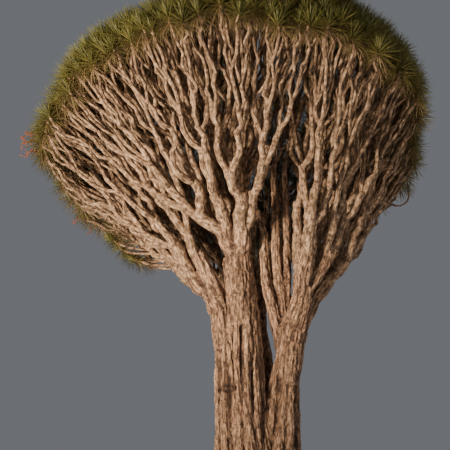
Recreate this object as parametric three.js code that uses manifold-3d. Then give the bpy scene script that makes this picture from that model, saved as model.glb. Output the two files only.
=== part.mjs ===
// A dragon tree. Four fluted stems stand joined in one stout trunk, and each stem forks in two again
// and again, every fork thinner than the last, up to a dome of rosettes of sword-shaped leaves.
import * as THREE from 'three';
import Module from 'manifold-3d';

const wasm = await Module();
wasm.setup();

// Sizes in millimetres. The ground is at height 0, +X is to the viewer's right and +Y to the rear.
const CLEARANCE = 1.4; // between one solid and the next
const FORK_HEIGHT = 2000; // where the trunk parts into its stems
const FLARE = 0.16; // how much wider the stems are at the ground
const FLARE_HEIGHT = 420;
const RIB_DEPTH = 0.045; // flutes of the stems, as a share of the radius
const RIB_TWIST = 0.00006; // radians a millimetre
const STEM_STEPS = 3;

// Each stem goes through three levels, and forks in two this many times before its foliage. At first its
// limbs lean out faster than they rise, by its bow.
const STEMS = [
  {
    name: 'centre', ribs: 7, forks: 2, bow: 0.05,
    levels: [[-250, -250, 0, 750], [-360, -250, FORK_HEIGHT, 700], [-400, -200, 6800, 710]],
  },
  {
    name: 'right', ribs: 6, forks: 3, bow: 0.12,
    levels: [[800, -120, 0, 680], [980, -100, FORK_HEIGHT, 620], [1250, -50, 4100, 530]],
  },
  {
    name: 'left', ribs: 5, forks: 2, bow: -0.01,
    levels: [[-760, -150, 0, 590], [-880, -200, FORK_HEIGHT, 520], [-1060, -250, 5200, 470]],
  },
  {
    name: 'rear', ribs: 5, forks: 2, bow: 0.05,
    levels: [[150, 720, 0, 760], [250, 950, FORK_HEIGHT, 600], [120, 1400, 4800, 530]],
  },
];

// The crown's shell is a shallow dome. Its shoots are spread evenly over it, as seeds in a sunflower.
const SHOOTS = 900;
const CROWN = { x: -730, y: 0, z: 12200, radius: 7650, rise: 4780, fullness: 0.83 };
const CROWN_FULLER_RIGHT = 0.12; // its shoulder is rounder at the right than at the left
const CROWN_UNDER = THREE.MathUtils.degToRad(97); // the dome's edge, from its top
const CROWN_UNDER_RIGHT = THREE.MathUtils.degToRad(7); // the edge hangs lower at the right
const CROWN_UNDER_REAR = THREE.MathUtils.degToRad(13); // and lower at the rear than at the front
const CROWN_LUMPS = { height: 0.035, waves: 8 }; // low swells all over the dome
const CROWN_TILT = { x: 0.107, y: -0.02 };
// The shares of the dome that the stems carry. The right stem's narrows towards the front and the rear,
// the left stem's is behind this line and left of the other, and the centre stem has the front.
const RIGHT_STEM_FROM = 0.08;
const RIGHT_STEM_SLANTS = { front: 0.3, rear: 0.6 };
const REAR_STEM_FROM = 0.3;
const LEFT_STEM_TO = -0.35;
const LEFT_STEM_BEHIND = -0.35;
const GOLDEN_ANGLE = Math.PI * (3 - Math.sqrt(5));
const SHOOT_JITTER = 0.35;

// A limb's radius follows from the number of shoots that it carries.
const SHOOT_RADIUS = 52;
const RADIUS_POWER = 0.44;
const LIMB_TAPER = { start: 1.12, end: 0.94 };
const FORK_SPREAD = 0.42; // two limbs leave this share of the radius to the side of their fork
const FAN_REACH = 0.92;
const FAN_POWER = 1.25;
const BIG_LIMB = 64; // limbs with fewer shoots bend more sharply at their forks
const WOBBLE = { big: 0.1, small: 0.28 };

// The foliage. Every twig ends in a rosette of blades. A blade stands for a spray of real leaves, so it
// is larger than life.
const TWIG_FORKS = 3;
const TWIG_SIDES = 3;
const TWIG_STEPS = 2;
const TWIG_SLIM = 0.8;
const SMALLEST_DETAIL = 3;
const CUT_DETAIL = 0.4; // cuts leave nothing finer
const BOUGH_SIDES = 6;
const BOUGH_STEPS = 3;
const SECOND_ROOT_SUNK = 24; // of a bough's two twigs the second starts this deep inside the first
const HEART_HEIGHT = 170; // the rosette's heart, which the blades stand out of
const BLADE = { length: 1020, width: 330, thickness: 40, widest: 0.45 };
const BLADE_LEANS = [50, 66, 58].map(THREE.MathUtils.degToRad);
const BLADE_TRIES = [[1, 0], [1, 0.35], [1, -0.35], [0.8, 0], [0.8, 0.4], [0.8, -0.4], [0.62, 0]];
const BLADE_GAP = 12;
const ROSETTE_INSET = 0.96; // rosettes sit this far along the fan, so that the blades end on the shell
const FRUIT = { length: 900, width: 140, droop: -0.3, sides: 4 };
const FRUIT_SHAPE = [[0, 0.4], [0.35, 0.5], [0.7, 1], [1, 0.3]]; // shares of its length and its width
const FRUITING = ['left_1_1', 'left_2_1', 'left_2_2'];
// A stray twig hangs out of the crown at the right and turns up again in a hook.
const HOOK = { from: 'right_2_2_2_1_2_2', share: 0.78, radius: 55, steps: 5 };
const HOOK_BENDS = [
  [0, 0], [450, 70], [890, 360], [1100, 300], [1370, 340], [1640, 560], [1750, 920], [1750, 1300],
];

const BARK = { color: 0xa98765, roughness: 0.92, metalness: 0 };
const LEAVES = { color: 0x66662c, roughness: 0.7, metalness: 0 };

const UP = new THREE.Vector3(0, 0, 1);

// A fixed number between 0 and 1 for every pair of numbers.
function chance(a, b) {
  const s = Math.sin(a * 12.9898 + b * 78.233) * 43758.5453;
  return s - Math.floor(s);
}

function along(from, direction, distance) {
  return from.clone().addScaledVector(direction, distance);
}

function towards(from, to) {
  return to.clone().sub(from).normalize();
}

// The point of the crown's shell over a place (u, v) of the unit disc.
function shellPoint(u, v) {
  const rho = Math.min(1, Math.hypot(u, v));
  const around = Math.atan2(v, u);
  const under = CROWN_UNDER + CROWN_UNDER_RIGHT * Math.cos(around) + CROWN_UNDER_REAR * Math.sin(around);
  const fromTop = 2 * Math.asin(rho * Math.sin(under / 2));
  const lump = 1 + CROWN_LUMPS.height * Math.sin(CROWN_LUMPS.waves * u) * Math.sin(CROWN_LUMPS.waves * v);
  const fullness = CROWN.fullness - CROWN_FULLER_RIGHT * Math.cos(around);
  const out = CROWN.radius * lump * Math.max(0, Math.sin(fromTop)) ** fullness;
  const x = out * Math.cos(around);
  const y = out * Math.sin(around);
  const z = CROWN.z + CROWN.rise * lump * Math.cos(fromTop) + CROWN_TILT.x * x + CROWN_TILT.y * y;
  return new THREE.Vector3(CROWN.x + x, CROWN.y + y, z);
}

function crownShoots() {
  const jitter = SHOOT_JITTER / Math.sqrt(SHOOTS);
  const shoots = [];
  for (let i = 0; i < SHOOTS; i += 1) {
    const rho = Math.sqrt((i + 0.5) / SHOOTS);
    const around = i * GOLDEN_ANGLE;
    const u = rho * Math.cos(around) + jitter * (chance(i, 1) - 0.5) * 2;
    const v = rho * Math.sin(around) + jitter * (chance(i, 2) - 0.5) * 2;
    shoots.push({ id: i, u, v });
  }
  return shoots;
}

function stemOf(shoot) {
  const slant = shoot.v < 0 ? RIGHT_STEM_SLANTS.front : RIGHT_STEM_SLANTS.rear;
  if (shoot.u > RIGHT_STEM_FROM + slant * Math.abs(shoot.v)) return 'right';
  if (shoot.u < LEFT_STEM_TO && shoot.v > LEFT_STEM_BEHIND) return 'left';
  return shoot.v > REAR_STEM_FROM ? 'rear' : 'centre';
}

function middle(shoots) {
  const u = shoots.reduce((sum, shoot) => sum + shoot.u, 0) / shoots.length;
  const v = shoots.reduce((sum, shoot) => sum + shoot.v, 0) / shoots.length;
  return { u, v };
}

// Parts a limb's shoots in two about even lots, across their longer spread.
function halves(shoots) {
  const mid = middle(shoots);
  let uu = 0;
  let vv = 0;
  let uv = 0;
  for (const shoot of shoots) {
    uu += (shoot.u - mid.u) ** 2;
    vv += (shoot.v - mid.v) ** 2;
    uv += (shoot.u - mid.u) * (shoot.v - mid.v);
  }
  const angle = 0.5 * Math.atan2(2 * uv, uu - vv);
  const place = (shoot) => shoot.u * Math.cos(angle) + shoot.v * Math.sin(angle);
  const ranked = [...shoots].sort((a, b) => place(a) - place(b));
  const share = 0.5 + 0.16 * (chance(ranked[0].id + shoots.length, 3) - 0.5);
  const cut = THREE.MathUtils.clamp(Math.round(shoots.length * share), 1, shoots.length - 1);
  return [ranked.slice(0, cut), ranked.slice(cut)];
}

// The point a share of the way from a stem's top to the shell, on the fan that its limbs follow.
function fanPoint(fan, mid, share) {
  const end = shellPoint(mid.u, mid.v);
  const out = share + fan.stem.bow * Math.sin(Math.PI * share) * (1 - share);
  return new THREE.Vector3(
    fan.start.x + (end.x - fan.start.x) * out,
    fan.start.y + (end.y - fan.start.y) * out,
    fan.start.z + (end.z - fan.start.z) * share,
  );
}

function limbRadius(shoots) {
  return SHOOT_RADIUS * shoots.length ** RADIUS_POWER;
}

// How far up the fan a limb with this many shoots forks again.
function forkShare(shoots, total) {
  return FAN_REACH * (1 - Math.log(shoots.length) / Math.log(total)) ** FAN_POWER;
}

function limbEnd(shoots, fan, here, last) {
  const mid = middle(shoots);
  const share = last ? ROSETTE_INSET : forkShare(shoots, fan.total);
  const end = fanPoint(fan, mid, share);
  const before = fanPoint(fan, mid, Math.max(0, share - 0.05));
  const after = fanPoint(fan, mid, Math.min(1, share + 0.05));
  const ahead = towards(before, after).addScaledVector(UP, last ? 0.7 : 0.25).normalize();
  if (!last) {
    const key = shoots[0].id * 7 + shoots.length;
    const size = shoots.length < BIG_LIMB ? WOBBLE.small : WOBBLE.big;
    const wobble = [4, 5, 6].map((seed) => chance(key, seed) - 0.5);
    end.addScaledVector(new THREE.Vector3(...wobble), size * end.distanceTo(here));
  }
  return { end, ahead };
}

// A limb leaves its fork sideways first and then turns to run along the fan.
function limbRoute(fork, shoots, end, ahead) {
  const chord = towards(fork.point, end);
  const side = along(chord, fork.heading, -chord.dot(fork.heading));
  const small = shoots.length < BIG_LIMB;
  const leave = along(fork.heading, side, small ? 1.8 : 0.7).addScaledVector(chord, small ? 0.3 : 1);
  const start = along(fork.point, side.normalize(), FORK_SPREAD * fork.radius);
  const span = start.distanceTo(end);
  return new THREE.CubicBezierCurve3(
    start,
    along(start, leave.normalize(), span * 0.38),
    along(end, ahead, -span * 0.34),
    end,
  );
}

// Grows one limb and, from its end, the two that follow it.
function growLimb(limbs, shoots, fan, fork, path) {
  const depth = path.length;
  const last = depth === fan.stem.forks + TWIG_FORKS || shoots.length === 1;
  const { end, ahead } = limbEnd(shoots, fan, fork.point, last);
  const limb = {
    path: [fan.stem.name, ...path],
    bough: depth <= fan.stem.forks,
    last,
    steps: depth <= fan.stem.forks ? BOUGH_STEPS : TWIG_STEPS,
    heading: fork.heading,
    ahead,
    end,
    radius: limbRadius(shoots),
    route: limbRoute(fork, shoots, end, ahead),
    parent: fork.limb,
    forks: [],
  };
  limbs.push(limb);
  if (last) return limb;
  const next = { point: end, heading: ahead, radius: limb.radius, limb };
  limb.forks = halves(shoots).map((half, i) => growLimb(limbs, half, fan, next, [...path, i + 1]));
  return limb;
}

// The stray twig, as one more last limb on the twig that it hangs from.
function growHook(parent) {
  const root = parent.route.getPoint(HOOK.share);
  const bends = HOOK_BENDS.map(([out, up]) => new THREE.Vector3(root.x + out, root.y, root.z + up));
  const route = new THREE.CatmullRomCurve3(bends);
  return {
    path: [...parent.path, 'hook'],
    bough: false,
    last: true,
    steps: HOOK.steps,
    heading: route.getTangent(0),
    ahead: route.getTangent(1),
    end: bends.at(-1),
    radius: HOOK.radius,
    route,
    parent,
    forks: [],
  };
}

function stemPoint(level) {
  return new THREE.Vector3(level[0], level[1], level[2]);
}

function growStem(stem, shoots) {
  const own = shoots.filter((shoot) => stemOf(shoot) === stem.name);
  const start = stemPoint(stem.levels[2]);
  const heading = towards(stemPoint(stem.levels[1]), start);
  const fan = { stem, start, total: own.length };
  const fork = { point: start, heading, radius: stem.levels[2][3], limb: null };
  const limbs = [];
  halves(own).forEach((half, i) => growLimb(limbs, half, fan, fork, [i + 1]));
  return limbs;
}

// A closed surface under construction: its corners and, for each face, three of their numbers.
function emptyShell() {
  return { corners: [], faces: [] };
}

function addCorners(shell, points) {
  shell.corners.push(...points);
  return points.map((_, i) => shell.corners.length - points.length + i);
}

// Faces between two rings with as many corners.
function addBand(shell, lower, upper) {
  lower.forEach((a, i) => {
    const j = (i + 1) % lower.length;
    shell.faces.push([a, lower[j], upper[j]], [a, upper[j], upper[i]]);
  });
}

// Flat faces over a ring, seen from outside in the ring's own order.
function addCap(shell, ring) {
  for (let i = 1; i + 1 < ring.length; i += 1) shell.faces.push([ring[0], ring[i], ring[i + 1]]);
}

function shellGeometry(shell) {
  const geometry = new THREE.BufferGeometry();
  const positions = shell.corners.flatMap((corner) => corner.toArray());
  geometry.setAttribute('position', new THREE.Float32BufferAttribute(positions, 3));
  geometry.setIndex(shell.faces.flat());
  return geometry;
}

function solidOf(geometry) {
  const mesh = new wasm.Mesh({
    numProp: 3,
    vertProperties: new Float32Array(geometry.attributes.position.array),
    triVerts: new Uint32Array(geometry.index.array),
  });
  return new wasm.Manifold(mesh);
}

// The part of a solid that counts: loose scraps dropped and sealed hollows filled.
function mainBody(solid) {
  const bodies = solid.decompose();
  return bodies.reduce((best, body) => (body.volume() > best.volume() ? body : best));
}

function meshOf(name, solid, look) {
  const data = mainBody(solid).getMesh();
  const geometry = new THREE.BufferGeometry();
  geometry.setAttribute('position', new THREE.BufferAttribute(data.vertProperties, 3));
  geometry.setIndex(new THREE.BufferAttribute(data.triVerts, 1));
  geometry.computeVertexNormals();
  const mesh = new THREE.Mesh(geometry, new THREE.MeshStandardMaterial(look));
  mesh.name = name;
  return mesh;
}

// The way that a limb's cross-section faces. A bough is stout for its length, so its sections turn
// evenly from the fork's heading to its own, and never fold over each other in the bend.
function limbFacing(limb, share) {
  if (!limb.bough) return limb.route.getTangent(share);
  return limb.heading.clone().lerp(limb.ahead, share).normalize();
}

// Cross-sections of a limb, the first and last pushed out by a margin.
function limbSections(limb, margin = 0) {
  const radii = limbRadii(limb);
  const sections = [];
  for (let step = 0; step <= limb.steps; step += 1) {
    const share = step / limb.steps;
    const tangent = limbFacing(limb, share);
    const push = step === 0 ? -margin : step === limb.steps ? margin : 0;
    const radius = THREE.MathUtils.lerp(radii.start, radii.end, share) + margin * 1.2;
    sections.push({ centre: along(limb.route.getPoint(share), tangent, push), tangent, radius });
  }
  return sections;
}

// Rings of points round those sections, turned as little as possible from one to the next.
function sectionRings(sections, sides) {
  const normal = new THREE.Vector3(0.3, 1, 0.1);
  return sections.map(({ centre, tangent, radius }) => {
    normal.addScaledVector(tangent, -normal.dot(tangent)).normalize();
    const across = tangent.clone().cross(normal);
    return Array.from({ length: sides }, (_, side) => {
      const angle = (side / sides) * 2 * Math.PI;
      const edge = along(centre, normal, radius * Math.cos(angle));
      return edge.addScaledVector(across, radius * Math.sin(angle));
    });
  });
}

function ringsShell(rings) {
  const shell = emptyShell();
  const numbered = rings.map((ring) => addCorners(shell, ring));
  numbered.slice(1).forEach((upper, i) => addBand(shell, numbered[i], upper));
  addCap(shell, [...numbered[0]].reverse());
  addCap(shell, numbered.at(-1));
  return shell;
}

function tubeSolid(sections, sides) {
  return solidOf(shellGeometry(ringsShell(sectionRings(sections, sides))));
}

// A stem's middle and radius at any height, on a smooth bend through its three levels.
function stemSection(stem, height) {
  const [foot, waist, top] = stem.levels;
  const a = ((height - waist[2]) * (height - top[2])) / ((foot[2] - waist[2]) * (foot[2] - top[2]));
  const b = ((height - foot[2]) * (height - top[2])) / ((waist[2] - foot[2]) * (waist[2] - top[2]));
  const c = 1 - a - b;
  const [x, y, , radius] = foot.map((value, i) => a * value + b * waist[i] + c * top[i]);
  return { x, y, radius: radius * (1 + FLARE * Math.exp(-height / FLARE_HEIGHT)) };
}

function stemSolid(stem, low, high, margin = 0) {
  const rings = [];
  for (let step = 0; step <= STEM_STEPS; step += 1) {
    const height = THREE.MathUtils.lerp(low, high, (step / STEM_STEPS) ** 1.5);
    const { x, y, radius } = stemSection(stem, height);
    const ring = [];
    for (let corner = 0; corner < stem.ribs * 2; corner += 1) {
      const angle = (corner / stem.ribs) * Math.PI + height * RIB_TWIST;
      const reach = radius * (1 + (corner % 2 ? -RIB_DEPTH : RIB_DEPTH)) + margin * 1.3;
      ring.push(new THREE.Vector3(x + reach * Math.cos(angle), y + reach * Math.sin(angle), height));
    }
    rings.push(ring);
  }
  return solidOf(shellGeometry(ringsShell(rings)));
}

function overlaps(a, b) {
  return a.min.every((low, i) => low < b.max[i] && b.min[i] < a.max[i]);
}

// Cuts a solid clear of every neighbour that was made before it.
function cutClear(solid, neighbours) {
  const box = solid.boundingBox();
  const near = neighbours.filter((neighbour) => overlaps(box, neighbour.boundingBox()));
  return near.length ? solid.subtract(wasm.Manifold.union(near)).simplify(CUT_DETAIL) : solid;
}

function buildTrunk() {
  const lobes = STEMS.map((stem) => stemSolid(stem, 0, FORK_HEIGHT - CLEARANCE));
  return meshOf('trunk', wasm.Manifold.union(lobes), BARK);
}

function buildStems(taken) {
  return STEMS.map((stem) => {
    const top = stem.levels[2][2];
    const solid = cutClear(stemSolid(stem, FORK_HEIGHT, top), taken);
    taken.push(stemSolid(stem, FORK_HEIGHT, top + CLEARANCE, CLEARANCE));
    return meshOf(`stem_${stem.name}`, solid, BARK);
  });
}

function limbRadii(limb) {
  return { start: limb.radius * LIMB_TAPER.start, end: limb.radius * LIMB_TAPER.end };
}

function buildBough(limb, taken) {
  const solid = cutClear(tubeSolid(limbSections(limb), BOUGH_SIDES), taken);
  taken.push(tubeSolid(limbSections(limb, CLEARANCE), BOUGH_SIDES));
  return meshOf(`bough_${limb.path.join('_')}`, solid, BARK);
}

// The straight pieces between sections, each with its radius, for measuring how near something comes.
function straightPieces(sections, owner) {
  return sections.slice(1).map((section, i) => ({
    line: new THREE.Line3(sections[i].centre, section.centre),
    radius: Math.max(sections[i].radius, section.radius),
    ...owner,
  }));
}

// The room between two straight pieces.
function between(piece, other) {
  return Math.sqrt(piece.line.distanceSqToLine3(other.line)) - piece.radius - other.radius;
}

function clearOfPieces(point, reach, mass, pieces) {
  const nearest = new THREE.Vector3();
  return pieces.every((piece) => {
    if (piece.mass === mass) return true;
    piece.line.closestPointToPoint(point, true, nearest);
    return nearest.distanceTo(point) > piece.radius + reach + BLADE_GAP;
  });
}

// A point is in a mass's own space where the nearest rosette is one of that mass's.
function inOwnSpace(point, mass, rosettes) {
  let own = Infinity;
  let other = Infinity;
  for (const rosette of rosettes) {
    const distance = rosette.end.distanceTo(point);
    if (rosette.mass === mass) own = Math.min(own, distance);
    else other = Math.min(other, distance);
  }
  return other - own > 2 * BLADE_GAP;
}

// A blade's tip and the corners round its widest place, for one direction out of a rosette's heart.
function bladeShape(root, direction, scale) {
  const wide = along(root, direction, BLADE.length * scale * BLADE.widest);
  const across = UP.clone().cross(direction).normalize();
  const over = direction.clone().cross(across);
  return {
    root,
    tip: along(root, direction, BLADE.length * scale),
    wide,
    left: along(wide, across, -BLADE.width / 2),
    right: along(wide, across, BLADE.width / 2),
    ridge: along(wide, over, BLADE.thickness),
  };
}

function bladeFits(blade, mass, crown) {
  const low = blade.root.clone().lerp(blade.wide, 0.6);
  const high = blade.wide.clone().lerp(blade.tip, 0.5);
  const edges = [blade.left, blade.right, blade.ridge];
  const corners = [blade.tip, ...edges, ...edges.map((edge) => edge.clone().lerp(blade.tip, 0.5))];
  if (!corners.every((corner) => inOwnSpace(corner, mass, crown.rosettes))) return false;
  const samples = [[low, 0.35], [blade.wide, 0.5], [high, 0.25], [blade.tip, 0]];
  return samples.every(([point, share]) => (
    clearOfPieces(point, BLADE.width * share, mass, crown.pieces)
  ));
}

// The blade nearest to a wished direction that keeps to the mass's space, or nothing.
function fittingBlade(root, axis, outward, lean, limb, crown) {
  const across = axis.clone().cross(outward);
  for (const [scale, turn] of BLADE_TRIES) {
    const direction = axis.clone().multiplyScalar(Math.cos(lean))
      .addScaledVector(outward, Math.sin(lean) * Math.cos(turn))
      .addScaledVector(across, Math.sin(lean) * Math.sin(turn));
    const blade = bladeShape(root, direction, scale);
    if (bladeFits(blade, limb.mass, crown)) return blade;
  }
  return null;
}

// A blade out of one side of the heart: four corners there, three round its widest place, one tip.
function addSideBlade(shell, [lowLeft, lowRight, highRight, highLeft], blade) {
  const ring = addCorners(shell, [blade.left, blade.right, blade.ridge]);
  const [left, right, ridge] = ring;
  const [tip] = addCorners(shell, [blade.tip]);
  shell.faces.push([lowLeft, lowRight, right], [lowLeft, right, left]);
  shell.faces.push([lowRight, highRight, right], [highRight, ridge, right]);
  shell.faces.push([highRight, highLeft, ridge]);
  shell.faces.push([highLeft, left, ridge], [highLeft, lowLeft, left]);
  ring.forEach((corner, i) => shell.faces.push([corner, ring[(i + 1) % 3], tip]));
}

// The blade that stands straight out of the heart's end, over its three corners.
function endBladeShape(corners, axis, scale) {
  const root = corners.reduce((sum, corner) => sum.add(corner), new THREE.Vector3()).divideScalar(3);
  const across = towards(root, corners[0]);
  const over = axis.clone().cross(across);
  const wide = along(root, axis, BLADE.length * scale * BLADE.widest);
  const back = along(wide, across, -BLADE.width / 4);
  return {
    root,
    tip: along(root, axis, BLADE.length * scale),
    wide,
    left: along(wide, across, BLADE.width / 2),
    right: along(back, over, BLADE.thickness),
    ridge: along(back, over, -BLADE.thickness),
  };
}

function addEndBlade(shell, ring, axis, mass, crown) {
  const corners = ring.map((number) => shell.corners[number].clone());
  const blades = [1, 0.8, 0.6].map((scale) => endBladeShape(corners, axis, scale));
  const blade = blades.find((candidate) => bladeFits(candidate, mass, crown));
  if (!blade) {
    addCap(shell, ring);
    return;
  }
  const upper = addCorners(shell, [blade.left, blade.right, blade.ridge]);
  const [tip] = addCorners(shell, [blade.tip]);
  addBand(shell, ring, upper);
  upper.forEach((corner, i) => shell.faces.push([corner, upper[(i + 1) % 3], tip]));
}

// The sections of a run of twigs, each one going on from the end of the one before.
function runSections(run) {
  const bough = run[0].parent.bough ? run[0].parent : null;
  const sections = [];
  if (bough) {
    const sunk = bough.forks.indexOf(run[0]) * SECOND_ROOT_SUNK;
    const centre = along(bough.end, bough.ahead, CLEARANCE * 1.5 + sunk);
    sections.push({ centre, tangent: bough.ahead, radius: bough.radius * LIMB_TAPER.end - sunk });
  }
  run.forEach((limb, i) => {
    const own = limbSections(limb);
    sections.push(...own.slice(bough || i > 0 ? 1 : 0));
  });
  const last = sections.at(-1);
  const centre = along(last.centre, last.tangent, HEART_HEIGHT);
  sections.push({ centre, tangent: last.tangent, radius: last.radius * 0.9 });
  return sections;
}

// A run of twigs as one tapering tube with a rosette at its end.
function runSolid(run, crown) {
  const sections = runSections(run);
  const shell = emptyShell();
  const rings = sectionRings(sections, TWIG_SIDES).map((ring) => addCorners(shell, ring));
  rings.slice(1, -1).forEach((upper, i) => addBand(shell, rings[i], upper));
  addCap(shell, [...rings[0]].reverse());
  const [lower, upper] = rings.slice(-2);
  const { centre, tangent: axis } = sections.at(-2);
  lower.forEach((corner, i) => {
    const j = (i + 1) % TWIG_SIDES;
    const side = [corner, lower[j], upper[j], upper[i]];
    const middleOfSide = shell.corners[corner].clone().lerp(shell.corners[lower[j]], 0.5);
    const outward = towards(centre, middleOfSide);
    const root = along(middleOfSide, axis, HEART_HEIGHT / 2);
    const blade = fittingBlade(root, axis, outward, BLADE_LEANS[i], run.at(-1), crown);
    if (blade) addSideBlade(shell, side, blade);
    else addCap(shell, side);
  });
  addEndBlade(shell, upper, axis, run.at(-1).mass, crown);
  return solidOf(shellGeometry(shell));
}

// A run's pieces count as slimmer than its corners reach, since its sections have few sides.
function runPieces(run) {
  const sections = runSections(run).map((section) => ({ ...section, radius: section.radius * TWIG_SLIM }));
  return straightPieces(sections, { mass: run[0].mass });
}

// Whether a run of twigs, past its root, stays clear of every limb made so far but its own bough and
// those of its mass.
function runFits(run, built) {
  const bough = run[0].parent;
  const pastRoot = runPieces(run).slice(bough.bough ? 1 : 0);
  return pastRoot.every((piece) => built.every((other) => (
    other.mass === piece.mass || other.bough === bough || between(piece, other) > BLADE_GAP
  )));
}

// Splits a mass's twigs in runs: at each fork the first twig goes on and the second starts a run.
function twigRuns(root) {
  const run = [root];
  const others = [];
  while (run.at(-1).forks.length) {
    const [first, second] = run.at(-1).forks;
    run.push(first);
    others.push(...twigRuns(second));
  }
  return [run, ...others];
}

function massRuns(limbs) {
  const roots = limbs.filter((limb) => limb.parent.bough);
  const strays = limbs.filter((limb) => !limb.parent.bough && !limb.parent.forks.includes(limb));
  return [...roots.flatMap(twigRuns), ...strays.flatMap(twigRuns)];
}

// A hanging bunch of berries, narrow at its stalk and widest past its middle.
function fruitSolid(limb) {
  const out = new THREE.Vector3(limb.end.x - CROWN.x, limb.end.y - CROWN.y, 0).normalize();
  const tangent = along(out, UP, FRUIT.droop).normalize();
  const sections = FRUIT_SHAPE.map(([share, width]) => (
    { centre: along(limb.end, tangent, share * FRUIT.length), tangent, radius: width * FRUIT.width }
  ));
  return tubeSolid(sections, FRUIT.sides);
}

function outermost(limbs) {
  const reach = (limb) => Math.hypot(limb.end.x - CROWN.x, limb.end.y - CROWN.y);
  return limbs.filter((limb) => limb.last).reduce((a, b) => (reach(a) > reach(b) ? a : b));
}

function buildMass(name, limbs, taken, crown) {
  const runs = massRuns(limbs).filter((run) => runFits(run, crown.built));
  const pieces = runs.map((run) => runSolid(run, crown));
  crown.built.push(...runs.flatMap(runPieces));
  if (FRUITING.includes(name)) pieces.push(fruitSolid(outermost(limbs)));
  const solid = cutClear(wasm.Manifold.union(pieces).simplify(SMALLEST_DETAIL), taken);
  return meshOf(`foliage_${name}`, solid, LEAVES);
}

// Every limb of the tree. A twig also gets the name of its mass, which is its last bough's.
function growTree() {
  const shoots = crownShoots();
  return STEMS.flatMap((stem) => {
    const limbs = growStem(stem, shoots);
    limbs.push(...limbs.filter((limb) => limb.path.join('_') === HOOK.from).map(growHook));
    const twigs = limbs.filter((limb) => !limb.bough);
    for (const twig of twigs) twig.mass = twig.path.slice(0, stem.forks + 1).join('_');
    return limbs;
  });
}

function buildTree() {
  const taken = [];
  const limbs = growTree();
  const boughs = limbs.filter((limb) => limb.bough).sort((a, b) => b.radius - a.radius);
  const twigs = limbs.filter((limb) => !limb.bough);
  const boughPieces = boughs.flatMap((bough) => straightPieces(limbSections(bough), { bough }));
  const crown = {
    built: [...boughPieces],
    pieces: [...boughPieces, ...massRuns(twigs).flatMap(runPieces)],
    rosettes: twigs.filter((limb) => limb.last),
  };
  const tree = new THREE.Group();
  tree.name = 'dragon_tree';
  tree.add(buildTrunk(), ...buildStems(taken));
  for (const bough of boughs) tree.add(buildBough(bough, taken));
  for (const name of new Set(twigs.map((twig) => twig.mass))) {
    tree.add(buildMass(name, twigs.filter((twig) => twig.mass === name), taken, crown));
  }
  return tree;
}

export default buildTree();
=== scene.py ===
"""A dragon tree, dressed: fluted stems with barked boughs, forking twigs, rosettes of sword-shaped
leaves and hanging bunches of berries. The limbs follow the same rule as the solids, in metres."""

import math

import bmesh
import bpy
import numpy as np
from mathutils import Matrix, Vector, kdtree, noise


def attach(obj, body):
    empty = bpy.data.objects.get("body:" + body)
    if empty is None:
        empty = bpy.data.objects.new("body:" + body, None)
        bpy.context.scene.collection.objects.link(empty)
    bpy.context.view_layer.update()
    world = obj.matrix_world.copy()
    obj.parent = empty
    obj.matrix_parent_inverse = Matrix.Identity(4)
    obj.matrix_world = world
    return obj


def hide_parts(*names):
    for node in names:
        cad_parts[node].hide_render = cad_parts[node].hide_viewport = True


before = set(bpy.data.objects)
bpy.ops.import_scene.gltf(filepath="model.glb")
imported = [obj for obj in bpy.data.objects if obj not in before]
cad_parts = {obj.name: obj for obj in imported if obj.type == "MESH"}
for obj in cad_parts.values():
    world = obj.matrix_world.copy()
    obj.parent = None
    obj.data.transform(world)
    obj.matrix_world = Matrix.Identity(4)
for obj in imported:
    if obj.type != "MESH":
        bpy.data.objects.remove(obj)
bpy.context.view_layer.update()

# The stems and the crown, as in the solids. A stem's levels are (x, y, z, radius).
FLARE = 0.16  # how much wider the stems are at the ground
FLARE_HEIGHT = 0.42
STEMS = {
    "centre": {
        "forks": 2, "ribs": 11, "bow": 0.05,
        "levels": [(-0.25, -0.25, 0, 0.75), (-0.36, -0.25, 2.0, 0.70), (-0.40, -0.20, 6.8, 0.71)],
    },
    "right": {
        "forks": 3, "ribs": 10, "bow": 0.12,
        "levels": [(0.80, -0.12, 0, 0.68), (0.98, -0.10, 2.0, 0.62), (1.25, -0.05, 4.1, 0.53)],
    },
    "left": {
        "forks": 2, "ribs": 8, "bow": -0.01,
        "levels": [(-0.76, -0.15, 0, 0.59), (-0.88, -0.20, 2.0, 0.52), (-1.06, -0.25, 5.2, 0.47)],
    },
    "rear": {
        "forks": 2, "ribs": 10, "bow": 0.05,
        "levels": [(0.15, 0.72, 0, 0.76), (0.25, 0.95, 2.0, 0.60), (0.12, 1.40, 4.8, 0.53)],
    },
}
SHOOTS = 900
CROWN = {"x": -0.73, "y": 0.0, "z": 12.2, "radius": 7.65, "rise": 4.78, "fullness": 0.83}
CROWN_FULLER_RIGHT = 0.12  # its shoulder is rounder at the right than at the left
CROWN_UNDER = math.radians(97)  # the dome's edge, from its top
CROWN_UNDER_RIGHT = math.radians(7)  # the edge hangs lower at the right
CROWN_UNDER_REAR = math.radians(13)  # and lower at the rear than at the front
CROWN_LUMPS = {"height": 0.035, "waves": 8}  # low swells all over the dome
CROWN_TILT = (0.107, -0.02)
RIGHT_STEM_FROM = 0.08
RIGHT_STEM_SLANTS = {"front": 0.3, "rear": 0.6}
REAR_STEM_FROM = 0.3
LEFT_STEM_TO = -0.35
LEFT_STEM_BEHIND = -0.35
GOLDEN_ANGLE = math.pi * (3 - math.sqrt(5))
SHOOT_JITTER = 0.35
SHOOT_RADIUS = 0.052
RADIUS_POWER = 0.44
LIMB_TAPER = (1.12, 0.94)
FORK_SPREAD = 0.42  # two limbs leave this share of the radius to the side of their fork
FAN_REACH = 0.92
FAN_POWER = 1.25
FAN_NEARBY = 0.05
BIG_LIMB = 64  # limbs with fewer shoots bend more sharply at their forks
WOBBLE = {"big": 0.1, "small": 0.28, "shoot": 0.3}
UPTURN = {"limb": 0.25, "shoot": 0.7}
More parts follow.
